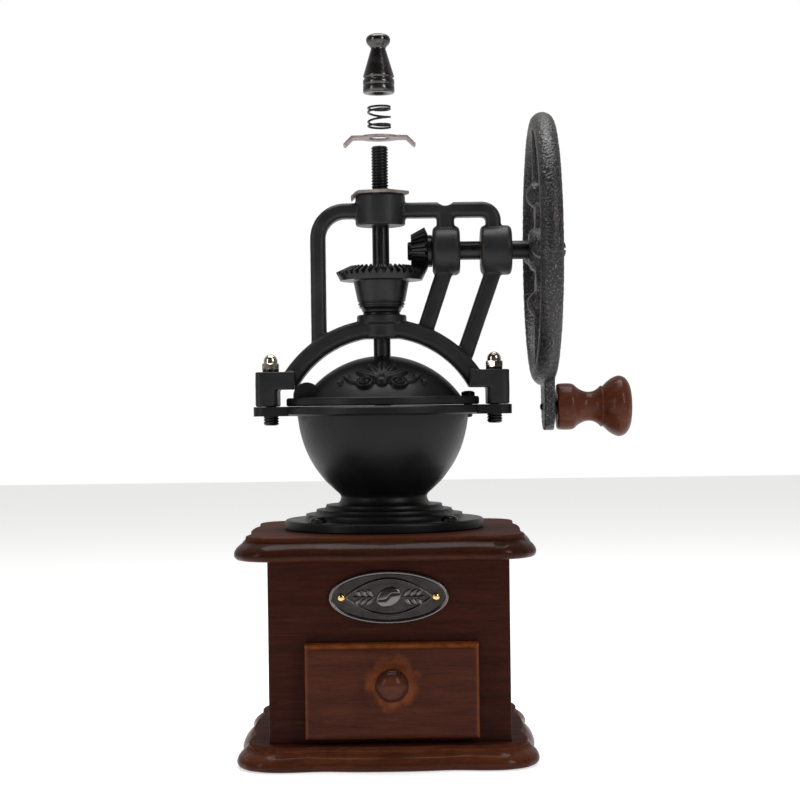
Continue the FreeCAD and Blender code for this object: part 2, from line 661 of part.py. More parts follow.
rim = turned_x(lathe((60.0, RIM_X0), ("A", (WHEEL_R, 0.5 * (RIM_X0 + RIM_X1)), (60.0, RIM_X1)),
                     ("L", (57.0, RIM_X1)), ("A", (55.2, 0.5 * (RIM_X0 + RIM_X1)), (57.0, RIM_X0))))
hub = turned_x(lathe((SHAFT_R, 70.0), ("L", (7.6, 70.0)), ("S", (9.6, 71.4), (10.6, 73.8), (11.2, 76.4)),
                     ("L", (11.2, 79.0)), ("S", (10.4, 81.2), (8.6, HUB_X1)), ("L", (SHAFT_R, HUB_X1))))
parts_w = [rim, hub]
SPOKE_X0 = 74.5
SPOKE_X1 = 79.0
for i in range(4):
    spoke = section(SPOKE_X1 - SPOKE_X0, 11.0, 1.8).extrude(V(0, 0, 49.5))
    spoke.translate(V(0.5 * (SPOKE_X0 + SPOKE_X1), 0, AXIS_Z + 8.0))
    rib = section(4.0, 4.6, 1.2).extrude(V(0, 0, 32.0))
    rib.translate(V(74.0, 0, AXIS_Z + 25.7))
    ball = Part.makeSphere(6.6, V(75.4, 0, AXIS_Z + 25.7))
    ball = ball.common(box(60, SPOKE_X1, -10, 10, AXIS_Z, AXIS_Z + 50))
    pts = [(4.0, 8.5), (4.6, 12.5), (7.2, 16.0), (8.4, 19.0), (6.8, 21.6), (3.6, 23.6)]
    left = [V(SPOKE_X1, -x, AXIS_Z + h) for x, h in pts]
    right = [V(SPOKE_X1, x, AXIS_Z + h) for x, h in reversed(pts)]
    c1 = Part.BSplineCurve()
    c1.interpolate(left)
    c2 = Part.BSplineCurve()
    c2.interpolate(right)
    wire = Part.Wire([c1.toShape(), Part.makeLine(left[-1], right[0]), c2.toShape(),
                      Part.makeLine(right[-1], left[0])])
    leaf = Part.Face(wire).extrude(V(-6.0, 0, 0))
    for piece in (spoke, rib, ball, leaf):
        piece.rotate(V(0, 0, AXIS_Z), V(1, 0, 0), 90.0 * i)
        parts_w.append(piece)
arm_d = AXIS_Z - HANDLE_Z
arm_face = [V(75.6, -12.8, AXIS_Z - 58.0), V(75.6, 12.8, AXIS_Z - 58.0), V(75.6, 11.0, HANDLE_Z),
            V(75.6, -11.0, HANDLE_Z), V(75.6, -12.8, AXIS_Z - 58.0)]
parts_w.append(Part.Face(Part.makePolygon(arm_face)).extrude(V(4.9, 0, 0)))
parts_w.append(rod_x(11.0, 75.6, 80.5, HANDLE_Z))
wheel = fuse(parts_w)
wheel = cut(wheel, [rod_x(SHAFT_R, 60, 95), rod_x(1.8, 70, 90, HANDLE_Z)])
nodes["hand_wheel"] = wheel

pin = lathe((0, 74.2), ("L", (0.4, 74.2)), ("A", (1.55, 74.75), (2.05, 75.6)),
            ("L", (1.8, 75.6), (1.8, 80.5), (4.2, 80.5), (4.2, 82.0), (3.0, 82.0), (3.0, 112.6),
             (4.6, 112.6), (4.6, 114.0)),
            ("A", (3.0, 114.95), (0.6, 115.3)), ("L", (0, 115.3)))
nodes["handle_pin"] = turned_x(pin, HANDLE_Z)
grip = lathe((3.0 + RUN, 82.1), ("L", (10.4, 82.1), (10.9, 82.8), (10.9, 86.4), (10.4, 86.9)),
             ("S", (8.9, 87.6), (8.6, 88.3)),
             ("S", (9.6, 89.2), (10.05, 90.4), (9.4, 91.8)),
             ("S", (7.6, 94.0), (7.0, 96.5), (7.7, 99.3), (9.8, 102.0)),
             ("S", (11.6, 103.2), (12.1, 104.6), (11.9, 105.7)),
             ("S", (13.6, 107.6), (14.4, 110.2), (13.9, 112.9), (11.9, 115.5), (8.6, 117.0)),
             ("L", (5.0, 117.0), (5.0, 112.4), (3.0 + RUN, 112.4)))
nodes["handle_knob"] = turned_x(grip, HANDLE_Z)

# ---- yoke ---------------------------------------------------------------
pieces = []
for side in (-1, 1):
    lo = min(side * 49.0, side * 59.3)
    hi = max(side * 49.0, side * 59.3)
    foot = box(lo, hi, -14.0, 14.0, 160.1, 176.3)
    outer_edges = [e for e in foot.Edges if e.BoundBox.ZLength > 5.0]
    pieces.append(foot.makeFillet(3.0, outer_edges))
    lo = min(side * 41.0, side * 55.0)
    hi = max(side * 41.0, side * 55.0)
    pieces.append(box(lo, hi, -14.0, 14.0, 168.1, 176.3))
arch_mid = 0.5 * (ARCH_RI + ARCH_RO)
arch = bend(0.0, ARCH_Z, arch_mid, 22.0, 158.0, ARCH_RO - ARCH_RI, 18.0, 2.8)
arch = arch.common(box(-70, 70, -20, 20, 168.1, 210.0))
pieces.append(arch)
boss = lathe((0, 191.5), ("L", (9.6, 191.5), (10.4, 192.3), (10.4, 197.8)),
             ("A", (10.8, 198.4), (11.7, 198.7)),
             ("L", (11.7, 202.3), (11.3, 202.7), (0, 202.7)))
pieces.append(boss)
cx = -29.7
rc = 12.9
pieces.append(bar((cx, 187.0), (cx, TOPBAR_Z - rc)))
pieces.append(bend(cx + rc, TOPBAR_Z - rc, rc, 90.0, 180.0))
pieces.append(bar((cx + rc, TOPBAR_Z), (47.8, TOPBAR_Z)))
pieces.append(bend(47.8, TOPBAR_Z - 5.4, 5.4, 0.0, 90.0))
pieces.append(bar((53.2, TOPBAR_Z - 5.4), (53.2, 235.0)))
pieces.append(bar((30.65, 236.0), (30.65, TOPBAR_Z), 8.3, BAR_D, 2.6))
collar = lathe((0, 244.7), ("L", (11.05, 244.7), (11.75, 245.4), (11.75, 258.7), (11.05, 259.4), (0, 259.4)))
pieces.append(collar)


def bearing(x0, x1, r):
    f = 2.2
    k = f * (1.0 - math.sqrt(0.5))
    return turned_x(lathe((0, x0), ("L", (r - f, x0)), ("A", (r - k, x0 + k), (r, x0 + f)),
                          ("L", (r, x1 - f)), ("A", (r - k, x1 - k), (r - f, x1)), ("L", (0, x1))))


pieces.append(bearing(24.4, 37.3, 11.6))
pieces.append(bearing(47.0, 61.7, 11.7))
pieces.append(bar((19.9, 193.4), (29.6, 222.0), 7.8, BAR_D, 2.6))
pieces.append(bar((38.2, 181.2), (52.7, 222.0), 7.8, BAR_D, 2.6))
yoke = fuse(pieces)
BUSH_R = 6.2
yoke_tools = [rod_y(4.5, -10, 10, 30.65, 258.2), rod(SPINDLE_R + RUN, 185, 205),
              rod(SPINDLE_R + RUN, 243, 262),
              rod_x(BUSH_R, 20, 65), rod(STUD_TOP_R, 155, 180, -STUD_X),
              rod(STUD_TOP_R, 155, 180, STUD_X)]
nodes["yoke_frame"] = cut(yoke, yoke_tools)
bushes = []
for x0, x1 in ((24.4, 37.3), (47.0, 61.7)):
    bushes.append(rod_x(BUSH_R, x0, x1).cut(rod_x(SHAFT_R + RUN, x0 - 1, x1 + 1)))
nodes["shaft_bushes"] = Part.makeCompound(bushes)

studs = []
washers = []
acorns = []
for side in (-1, 1):
    x = side * STUD_X
    grooves = []
    z = STUD_Z0 + 0.9
    while z + STUD_PITCH < 155.2:
        grooves.append((STUD_R, z))
        grooves.append((STUD_R - 0.5, z + 0.5 * STUD_PITCH))
        z += STUD_PITCH
    stud = lathe((0, STUD_Z0), ("L", (2.6, STUD_Z0), (3.3, STUD_Z0 + 0.4), *grooves, (STUD_R, z),
                                (STUD_R, 160.0), (STUD_TOP_R, 160.0), (STUD_TOP_R, 182.2), (0, 182.2)))
    stud.translate(V(x, 0, 0))
    studs.append(stud)
    washer = rod(3.9, 176.3, 177.6).cut(rod(STUD_TOP_R, 175, 179))
    washer.translate(V(x, 0, 0))
    washers.append(washer)
    nut = hexagon(7.8, 177.6, 180.5)
    trim = lathe((0, 177.6), ("L", (4.1, 177.6), (4.5, 178.1), (4.5, 180.0), (3.9, 180.5), (0, 180.5)))
    dome = lathe((0, 180.2), ("L", (3.3, 180.2), (3.3, 181.5)), ("A", (2.35, 183.85), (0.4, 184.8)),
                 ("L", (0, 184.8)))
    nut = fuse([nut.common(trim), dome]).cut(rod(STUD_TOP_R, 175, 182.2))
    nut.translate(V(x, 0, 0))
    acorns.append(nut)
nodes["yoke_studs"] = Part.makeCompound(studs)
nodes["yoke_washers"] = Part.makeCompound(washers)
nodes["acorn_nuts"] = Part.makeCompound(acorns)

# ---- lid ----------------------------------------------------------------
outer_top = DOME_Z + DOME_R
r_seat = math.sqrt(DOME_R ** 2 - (LID_Z1 - DOME_Z) ** 2)
inner_r = DOME_R - DOME_T
r_in = math.sqrt(inner_r ** 2 - (LID_Z0 - DOME_Z) ** 2)
a_mid = 0.5 * math.atan2(r_seat, LID_Z1 - DOME_Z)
b_mid = 0.5 * math.atan2(r_in, LID_Z0 - DOME_Z)
lid = lathe((r_in, LID_Z0), ("L", (LID_R - 0.6, LID_Z0), (LID_R, LID_Z0 + 0.6), (LID_R, LID_Z1 - 1.0)),
            ("A", (LID_R - 0.3, LID_Z1 - 0.3), (LID_R - 1.0, LID_Z1)),
            ("L", (r_seat, LID_Z1)),
            ("A", (DOME_R * math.sin(a_mid), DOME_Z + DOME_R * math.cos(a_mid)), (0, outer_top)),
            ("L", (0, DOME_Z + inner_r)),
            ("A", (inner_r * math.sin(b_mid), DOME_Z + inner_r * math.cos(b_mid)), (r_in, LID_Z0)))
tab = rod_y(6.3, -17.3, -15.1, -35.0, 164.9).common(box(-50, -20, -20, -5, 161.5, 175))
lid = fuse([lid, tab])
lid = lid.cut(lathe((0, 150), ("L", (r_in, 150), (r_in, LID_Z0)),
                    ("A", (inner_r * math.sin(b_mid), DOME_Z + inner_r * math.cos(b_mid)),
                     (0, DOME_Z + inner_r))))
SLOT_HALF = 5.2
SWING = 23.0
slot = []
ring_slot = rod(PIVOT_X + SLOT_HALF, 150, 200, PIVOT_X).cut(rod(PIVOT_X - SLOT_HALF, 149, 201, PIVOT_X))
wedge_pts = [V(PIVOT_X, 0, 150)]
for i in range(5):
    a = math.radians(180.0 - SWING * i / 4.0)
    wedge_pts.append(V(PIVOT_X + 60 * math.cos(a), 60 * math.sin(a), 150))
wedge_pts.append(wedge_pts[0])
wedge = Part.Face(Part.makePolygon(wedge_pts)).extrude(V(0, 0, 50))
slot.append(ring_slot.common(wedge))
slot.append(rod(SLOT_HALF, 150, 200))
end_a = math.radians(180.0 - SWING)
slot.append(rod(SLOT_HALF, 150, 200, PIVOT_X + PIVOT_X * math.cos(end_a), PIVOT_X * math.sin(end_a)))
lid = cut(lid, slot + [rod(2.0 + RUN, 150, 170, PIVOT_X)])
nodes["hopper_lid"] = lid
pivot = lathe((0, 154.0), ("L", (1.4, 154.0), (2.0, 154.6), (2.0, LID_Z1 + 0.05), (3.2, LID_Z1 + 0.05),
                           (3.2, LID_Z1 + 1.7)),
              ("A", (2.1, LID_Z1 + 2.28), (0.5, LID_Z1 + 2.45)), ("L", (0, LID_Z1 + 2.45)))
pivot = pivot.cut(box(-4, 4, -0.4, 0.4, LID_Z1 + 1.6, LID_Z1 + 4))
pivot.translate(V(PIVOT_X, 0, 0))
nodes["lid_screw"] = pivot

# ---- adjusting stack ----------------------------------------------------
ADJ_R = 14.1               # corner radius of the hexagonal plate
ADJ_FOLD = -11.2           # its left corner is folded down here
ADJ_Z0 = 259.5
ADJ_Z1 = 260.9
hexa = hexagon(ADJ_R * math.sqrt(3.0), ADJ_Z0, ADJ_Z1, turn=-15.0)
flat = hexa.common(box(ADJ_FOLD, 20, -20, 20, 250, 270))
fold = [(ADJ_FOLD, ADJ_Z1), (ADJ_FOLD - 2.5, ADJ_Z1 - 2.2), (ADJ_FOLD - 2.5, ADJ_Z1 - 3.9),
        (ADJ_FOLD, ADJ_Z0), (ADJ_FOLD, ADJ_Z1)]
flap = Part.Face(Part.makePolygon([V(x, -5.4, z) for x, z in fold])).extrude(V(0, 11.4, 0))
nodes["adjusting_plate"] = fuse([flat, flap]).cut(rod(THREAD_R + RUN, 259, 262))

lt = LOCK_TOP
prof = [(-13.1, lt), (13.1, lt), (17.2, lt - 4.1), (16.35, lt - 4.95), (12.6, lt - 1.2), (-12.6, lt - 1.2),
        (-16.35, lt - 4.95), (-17.2, lt - 4.1), (-13.1, lt)]
strap = Part.Face(Part.makePolygon([V(x, -5.4, z) for x, z in prof])).extrude(V(0, 10.8, 0))
lock = fuse([strap, rod(9.75, lt - 1.2, lt)]).cut(rod(4.95, lt - 8, lt + 2))
nodes["lock_plate"] = lock

WIRE_R = 0.525
COIL_R = 5.125
END_PITCH = 1.12           # closed end coils
RISE = SPRING_H - 2.0 * WIRE_R - 2.0 * END_PITCH
pts = []
STEPS = 14
for i in range(4 * STEPS + 1):
    u = i / float(STEPS)
    if u <= 1.0:
        h = END_PITCH * u
    elif u <= 3.0:
        s = (u - 1.0) / 2.0
        h = END_PITCH + END_PITCH * 2.0 * s + (RISE - 2.0 * END_PITCH) * (s * s * (3.0 - 2.0 * s))
    else:
        h = END_PITCH + RISE + END_PITCH * (u - 3.0)
    a = 2 * math.pi * u
    pts.append(V(COIL_R * math.cos(a), COIL_R * math.sin(a), SPRING_Z0 + WIRE_R + h))
helix = Part.BSplineCurve()
helix.interpolate(pts)
path = Part.Wire([helix.toShape()])
start_dir = helix.tangent(helix.FirstParameter)[0]
ring_w = Part.Wire([Part.makeCircle(WIRE_R, pts[0], start_dir)])
nodes["lock_spring"] = path.makePipeShell([ring_w], True, True)

n0 = NUT_Z
nut = lathe((THREAD_R + RUN, n0), ("L", (7.2, n0), (7.7, n0 + 0.5), (7.7, n0 + 4.3), (7.1, n0 + 4.8),
            (7.1, n0 + 5.6), (7.7, n0 + 6.1), (7.7, n0 + 8.2)),
            ("S", (7.1, n0 + 9.7), (6.05, n0 + 12.3)),
            ("S", (5.1, n0 + 15.0), (4.3, n0 + 18.6), (3.95, n0 + 20.6), (4.15, n0 + 21.8)),
            ("S", (5.5, n0 + 23.0), (5.85, n0 + 24.9), (5.2, n0 + 26.7), (3.3, n0 + 27.9), (0.4, n0 + 28.2)),
            ("L", (0, n0 + 28.2), (0, n0 + 15.3), (THREAD_R + RUN, n0 + 15.3)))
nodes["top_nut"] = nut

# ---- write the parts ----------------------------------------------------
os.makedirs("parts", exist_ok=True)
for name in sorted(nodes):
    shape = nodes[name]
    solids = shape.Solids
    if len(solids) == 1:
        shape = solids[0]
    else:
        shape = Part.makeCompound(solids)
    bb = shape.BoundBox
    print(name, len(solids), shape.isValid(), round(shape.Volume, 1),
          [round(v, 1) for v in (bb.XMin, bb.XMax, bb.YMin, bb.YMax, bb.ZMin, bb.ZMax)])
    shape.exportStep("parts/" + name + ".step")
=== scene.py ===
import json
import math

import bmesh
import bpy
from mathutils import Matrix, Vector, noise


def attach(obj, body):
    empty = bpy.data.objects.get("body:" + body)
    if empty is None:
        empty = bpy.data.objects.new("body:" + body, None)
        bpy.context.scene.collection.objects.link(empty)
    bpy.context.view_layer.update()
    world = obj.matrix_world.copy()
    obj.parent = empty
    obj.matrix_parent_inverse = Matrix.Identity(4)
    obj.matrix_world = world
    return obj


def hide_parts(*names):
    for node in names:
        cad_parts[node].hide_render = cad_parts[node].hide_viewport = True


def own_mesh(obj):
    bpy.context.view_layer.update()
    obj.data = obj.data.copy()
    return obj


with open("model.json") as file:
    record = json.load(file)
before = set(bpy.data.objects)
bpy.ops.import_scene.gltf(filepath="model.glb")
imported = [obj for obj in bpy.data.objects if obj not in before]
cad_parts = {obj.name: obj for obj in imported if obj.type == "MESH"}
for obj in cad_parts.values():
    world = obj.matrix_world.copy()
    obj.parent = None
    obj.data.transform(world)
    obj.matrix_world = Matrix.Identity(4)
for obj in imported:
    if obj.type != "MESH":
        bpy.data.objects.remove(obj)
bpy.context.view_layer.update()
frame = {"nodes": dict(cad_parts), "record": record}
nodes = frame["nodes"]
MM = 0.001
AXIS_Z = 0.2327            # crank shaft axis
HANDLE_Z = 0.1584          # handle knob axis
DRAWER_X = 0.0030          # middle of the drawer front
DRAWER_KNOB_Z = 0.0382
BADGE_Z = 75.1             # nameplate centre height, mm
BADGE_W = 26.6
BADGE_H = 11.75


# ---- material building --------------------------------------------------
class Paint:
    """A node material on object coordinates, in metres."""

    def __init__(self, name):
        self.mat = bpy.data.materials.new(name)
        self.mat.use_nodes = True
        self.tree = self.mat.node_tree
        self.tree.nodes.clear()
        self.out = self.tree.nodes.new("ShaderNodeOutputMaterial")
        self.bsdf = self.tree.nodes.new("ShaderNodeBsdfPrincipled")
        self.tree.links.new(self.bsdf.outputs[0], self.out.inputs[0])
        self.coord = self.tree.nodes.new("ShaderNodeTexCoord").outputs["Object"]

    def link(self, source, socket):
        if hasattr(source, "links"):
            self.tree.links.new(source, socket)
        else:
            socket.default_value = source

    def stretch(self, scale, offset=(0, 0, 0), turn=(0, 0, 0), source=None):
        n = self.tree.nodes.new("ShaderNodeMapping")
        n.inputs["Scale"].default_value = scale
        n.inputs["Location"].default_value = offset
        n.inputs["Rotation"].default_value = turn
        self.link(source or self.coord, n.inputs["Vector"])
        return n.outputs[0]

    def noise(self, scale, vector=None, detail=3.0, rough=0.55, distort=0.0):
        n = self.tree.nodes.new("ShaderNodeTexNoise")
        n.inputs["Scale"].default_value = scale
        n.inputs["Detail"].default_value = detail
        n.inputs["Roughness"].default_value = rough
        n.inputs["Distortion"].default_value = distort
        self.link(vector or self.coord, n.inputs["Vector"])
        return n.outputs["Fac"]

    def cells(self, scale, vector=None, feature="F1", smooth=None):
        n = self.tree.nodes.new("ShaderNodeTexVoronoi")
        n.feature = feature
        n.inputs["Scale"].default_value = scale
        if smooth is not None:
            n.inputs["Smoothness"].default_value = smooth
        self.link(vector or self.coord, n.inputs["Vector"])
        return n.outputs["Distance"]

    def wave(self, scale, direction, vector=None, distort=0.0, detail=0.0, detail_scale=1.0):
        n = self.tree.nodes.new("ShaderNodeTexWave")
        n.bands_direction = direction
        n.inputs["Scale"].default_value = scale
        n.inputs["Distortion"].default_value = distort
        n.inputs["Detail"].default_value = detail
        n.inputs["Detail Scale"].default_value = detail_scale
        self.link(vector or self.coord, n.inputs["Vector"])
        return n.outputs["Fac"]

    def ramp(self, fac, stops, ease="LINEAR"):
        n = self.tree.nodes.new("ShaderNodeValToRGB")
        n.color_ramp.interpolation = ease
        while len(n.color_ramp.elements) < len(stops):
            n.color_ramp.elements.new(0.5)
        for element, (pos, value) in zip(n.color_ramp.elements, stops):
            element.position = pos
            if isinstance(value, (int, float)):
                value = (value, value, value)
            element.color = (*value, 1.0)
        self.link(fac, n.inputs["Fac"])
        return n.outputs["Color"]

    def mix(self, fac, a, b, mode="MIX"):
        n = self.tree.nodes.new("ShaderNodeMix")
        n.data_type = "RGBA"
        n.blend_type = mode
        for source, socket in ((fac, n.inputs[0]), (a, n.inputs[6]), (b, n.inputs[7])):
            if isinstance(source, tuple) and len(source) == 3:
                source = (*source, 1.0)
            self.link(source, socket)
        return n.outputs[2]

    def math(self, op, a, b=0.0, clamp=False):
        n = self.tree.nodes.new("ShaderNodeMath")
        n.operation = op
        n.use_clamp = clamp
        self.link(a, n.inputs[0])
        self.link(b, n.inputs[1])
        return n.outputs[0]

    def span(self, value, lo, hi, to_lo=0.0, to_hi=1.0):
        n = self.tree.nodes.new("ShaderNodeMapRange")
        n.interpolation_type = "SMOOTHSTEP"
        self.link(value, n.inputs["Value"])
        n.inputs["From Min"].default_value = lo
        n.inputs["From Max"].default_value = hi
        n.inputs["To Min"].default_value = to_lo
        n.inputs["To Max"].default_value = to_hi
        return n.outputs[0]

    def axes(self, source=None):
        n = self.tree.nodes.new("ShaderNodeSeparateXYZ")
        self.link(source or self.coord, n.inputs[0])
        return n.outputs

    def bump(self, height, distance, strength=1.0, below=None):
        n = self.tree.nodes.new("ShaderNodeBump")
        n.inputs["Strength"].default_value = strength
        n.inputs["Distance"].default_value = distance
        self.link(height, n.inputs["Height"])
        if below is not None:
            self.link(below, n.inputs["Normal"])
        return n.outputs[0]

    def done(self, color, rough, normal=None, **fixed):
        self.link(color if not isinstance(color, tuple) else (*color, 1.0), self.bsdf.inputs["Base Color"])
        self.link(rough, self.bsdf.inputs["Roughness"])
        if normal is not None:
            self.link(normal, self.bsdf.inputs["Normal"])
        for key, value in fixed.items():
            self.bsdf.inputs[key.replace("_", " ")].default_value = value
        return self.mat


def wood(name, dark, mid, light, along=(1.0, 12.0, 12.0), base=55.0, gloss=0.34, coat=0.16, coat_rough=0.10,
         seed=0.0, spec=0.07, glow=None, glow_color=(0.28, 0.075, 0.018), shade=None, dull=None):
    p = Paint(name)
    v = p.stretch(along, (seed, seed * 0.37, seed * 0.71))
    flow = p.noise(base * 0.35, v, 3.0, 0.5, 0.6)
    figure = p.noise(base, v, 5.0, 0.62, 0.9)
    fibre = p.noise(base * 7.0, v, 4.0, 0.7)
    pore_v = p.stretch(tuple(a * s for a, s in zip(along, (1.6, 1.6, 1.6))), (seed * 1.3, 0.2, 0.4))
    pores = p.ramp(p.noise(base * 9.0, pore_v, 2.0, 0.5), [(0.30, 1.0), (0.40, 0.0)])
    tone = p.math("ADD", p.math("MULTIPLY", figure, 0.62), p.math("MULTIPLY", flow, 0.38))
    color = p.ramp(tone, [(0.30, dark), (0.50, mid), (0.70, light)])
    streak = p.ramp(fibre, [(0.32, 0.72), (0.62, 1.06)])
    color = p.mix(0.75, color, streak, "MULTIPLY")
    color = p.mix(p.math("MULTIPLY", pores, 0.55), color, tuple(c * 0.45 for c in dark))
    # glow: painted highlight, a lighter colour mixed in under its mask (on the drawer also a lighter halo round the
    # knob).
    if glow is not None:
        color = p.mix(glow(p), color, glow_color)
    # shade: painted shade, the colour mixed towards black under its mask.
    if shade is not None:
        color = p.mix(shade(p), color, (0.0, 0.0, 0.0))
    height = p.math("SUBTRACT", p.math("MULTIPLY", fibre, 0.5), p.math("MULTIPLY", pores, 0.8))
    swell = p.noise(90.0, None, 2.0, 0.5)
    normal = p.bump(height, 0.00006, 0.55, p.bump(swell, 0.0004, 0.5))
    rough = p.span(figure, 0.3, 0.7, gloss + 0.07, gloss - 0.04)
    if dull is not None:
        flat = dull(p)
        p.link(p.math("MULTIPLY", p.math("SUBTRACT", 1.0, flat), coat), p.bsdf.inputs["Coat Weight"])
        rough = p.math("ADD", rough, p.math("MULTIPLY", flat, 0.25))
    return p.done(color, rough, normal, Coat_Weight=coat, Coat_Roughness=coat_rough, Coat_IOR=1.42,
                  Specular_IOR_Level=spec)


def satin_iron(name, color=(0.0046, 0.0044, 0.0047), rough=0.37, grain=0.00005, spec=0.22):
    p = Paint(name)
    fine = p.noise(2600.0, None, 3.0, 0.6)
    cloud = p.noise(55.0, None, 4.0, 0.6)
    tint = p.ramp(cloud, [(0.3, tuple(c * 0.8 for c in color)), (0.7, tuple(c * 1.3 for c in color))])
    warm = p.mix(p.span(p.noise(18.0, None, 2.0), 0.45, 0.75, 0.0, 0.35), tint, (0.0105, 0.0088, 0.0078))
    cast = p.noise(420.0, None, 3.0, 0.55)
    normal = p.bump(fine, grain, 0.7, p.bump(cast, 0.00010, 0.45))
    level = p.math("ADD", p.span(cloud, 0.3, 0.7, rough - 0.05, rough + 0.05), p.math("MULTIPLY", fine, 0.05))
    return p.done(warm, level, normal, Specular_IOR_Level=spec)


def hammered_iron(name):
    p = Paint(name)
    pits = p.cells(780.0, p.stretch((1, 1, 1), (0.3, 0.1, 0.2)), "SMOOTH_F1", 0.6)
    fine = p.noise(1900.0, None, 4.0, 0.65)
    patch = p.noise(70.0, None, 4.0, 0.6)
    brown = p.span(p.noise(45.0, p.stretch((1, 1, 1), (2.0, 1.0, 0.0)), 3.0, 0.6), 0.50, 0.72)
    color = p.ramp(patch, [(0.3, (0.010, 0.010, 0.011)), (0.7, (0.030, 0.029, 0.031))])
    color = p.mix(p.math("MULTIPLY", brown, 0.50), color, (0.040, 0.026, 0.020))
    silver = p.ramp(p.noise(1300.0, None, 3.0, 0.7), [(0.56, 0.0), (0.68, 1.0)])
    color = p.mix(p.math("MULTIPLY", silver, 0.52), color, (0.30, 0.295, 0.30))
    normal = p.bump(fine, 0.00012, 0.8, p.bump(pits, 0.00045, 0.7))
    rough = p.span(patch, 0.3, 0.7, 0.34, 0.50)
    return p.done(color, rough, normal, Metallic=0.45, Specular_IOR_Level=0.5)


def turned_steel(name, color, rough, axis="Z", metallic=0.9, lines=0.6, pitch=2600.0):
    p = Paint(name)
    scale = {"X": (1, 0.03, 0.03), "Y": (0.03, 1, 0.03), "Z": (0.03, 0.03, 1)}[axis]
    ring = p.noise(pitch, p.stretch(scale), 3.0, 0.6)
    smear = p.noise(140.0, None, 4.0, 0.6)
    tint = p.ramp(smear, [(0.3, tuple(c * 0.75 for c in color)), (0.7, tuple(min(1, c * 1.25) for c in color))])
    tint = p.mix(0.5, tint, p.ramp(ring, [(0.3, 0.75), (0.7, 1.15)]), "MULTIPLY")
    normal = p.bump(ring, 0.00003, lines)
    level = p.math("ADD", p.span(smear, 0.3, 0.7, rough - 0.05, rough + 0.06), p.math("MULTIPLY", ring, 0.06))
    return p.done(tint, level, normal, Metallic=metallic)


def stamped_zinc(name):
    p = Paint(name)
    brush = p.noise(900.0, p.stretch((0.12, 1, 1)), 4.0, 0.65)
    cloud = p.noise(160.0, None, 4.0, 0.6)
    color = p.ramp(cloud, [(0.3, (0.26, 0.212, 0.198)), (0.55, (0.35, 0.296, 0.280)), (0.75, (0.43, 0.376, 0.355))])
    color = p.mix(0.45, color, p.ramp(brush, [(0.3, 0.72), (0.7, 1.12)]), "MULTIPLY")
    normal = p.bump(brush, 0.00005, 0.6)
    return p.done(color, p.span(cloud, 0.3, 0.7, 0.46, 0.58), normal, Metallic=0.75)


def gunmetal_painted_highlight(name):
    # Gunmetal with a painted highlight: its raised lines are coloured bright over a darker ground.
    p = Paint(name)
    y = p.axes()[1]
    brush = p.noise(1400.0, p.stretch((0.10, 1, 1)), 3.0, 0.6)
    cloud = p.noise(170.0, None, 4.0, 0.6)
    raised_highlight = p.span(y, -0.05480, -0.05545)
    ground = p.ramp(cloud, [(0.3, (0.026, 0.024, 0.0235)), (0.7, (0.054, 0.050, 0.0485))])
    color = p.mix(raised_highlight, ground, (0.155, 0.143, 0.140))
    color = p.mix(0.35, color, p.ramp(brush, [(0.3, 0.75), (0.7, 1.15)]), "MULTIPLY")
    normal = p.bump(brush, 0.00003, 0.4)
    return p.done(color, p.span(cloud, 0.3, 0.7, 0.20, 0.30), normal, Metallic=0.92)


def bright_metal(name, color, rough, metallic=1.0):
    p = Paint(name)
    wear = p.noise(700.0, None, 4.0, 0.6)
    swirl = p.noise(120.0, None, 3.0, 0.6)
    tint = p.ramp(swirl, [(0.3, tuple(c * 0.85 for c in color)), (0.7, tuple(min(1, c * 1.08) for c in color))])
    normal = p.bump(wear, 0.00003, 0.5)
    return p.done(tint, p.span(wear, 0.3, 0.7, rough - 0.03, rough + 0.08), normal, Metallic=metallic)


DARK = (0.016, 0.0062, 0.0040)


def drawer_painted_highlight_and_halo(p):
    # Painted highlight: a lighter orange along the rounded edges, strongest on the top edge, and a lighter ragged halo
    # round the knob.
    x, y, z = p.axes()[0], p.axes()[1], p.axes()[2]
    off = p.math("SUBTRACT", x, DRAWER_X)
    side = p.math("MULTIPLY", p.span(p.math("ABSOLUTE", off), 0.0366, 0.0380), 0.40)
    top = p.math("MULTIPLY", p.span(z, 0.0528, 0.0544), 1.0)
    dz = p.math("SUBTRACT", z, DRAWER_KNOB_Z - 0.0006)
    dist = p.math("SQRT", p.math("ADD", p.math("MULTIPLY", off, off), p.math("MULTIPLY", dz, dz)))
    ragged = p.math("ADD", dist, p.math("MULTIPLY", p.math("SUBTRACT", p.noise(150.0, None, 3.0, 0.6), 0.5), 0.012))
    halo = p.math("MULTIPLY", p.span(ragged, 0.0135, 0.0075), 0.50)
    blotch = p.noise(220.0, None, 3.0, 0.6)
    every = p.math("MAXIMUM", p.math("MAXIMUM", side, top), halo)
    return p.math("MULTIPLY", every, p.span(blotch, 0.2, 0.62, 0.35, 1.0), True)


def plate_painted_highlight(p):
    # Painted highlight: a lighter colour in bands along the raised steps of the moulding.
    z = p.axes()[2]
    a = p.math("MULTIPLY", p.span(p.math("ABSOLUTE", p.math("SUBTRACT", z, 0.0082)), 0.0012, 0.0002), 0.45)
    b = p.math("MULTIPLY", p.span(p.math("ABSOLUTE", p.math("SUBTRACT", z, 0.0060)), 0.0030, 0.0005), 0.28)
    c = p.math("MULTIPLY", p.span(p.math("ABSOLUTE", p.math("SUBTRACT", z, 0.0926)), 0.0018, 0.0003), 0.25)
    blotch = p.noise(130.0, None, 3.0, 0.6)
    every = p.math("MAXIMUM", a, p.math("MAXIMUM", b, c))
    return p.math("MULTIPLY", every, p.span(blotch, 0.3, 0.65, 0.2, 1.0), True)


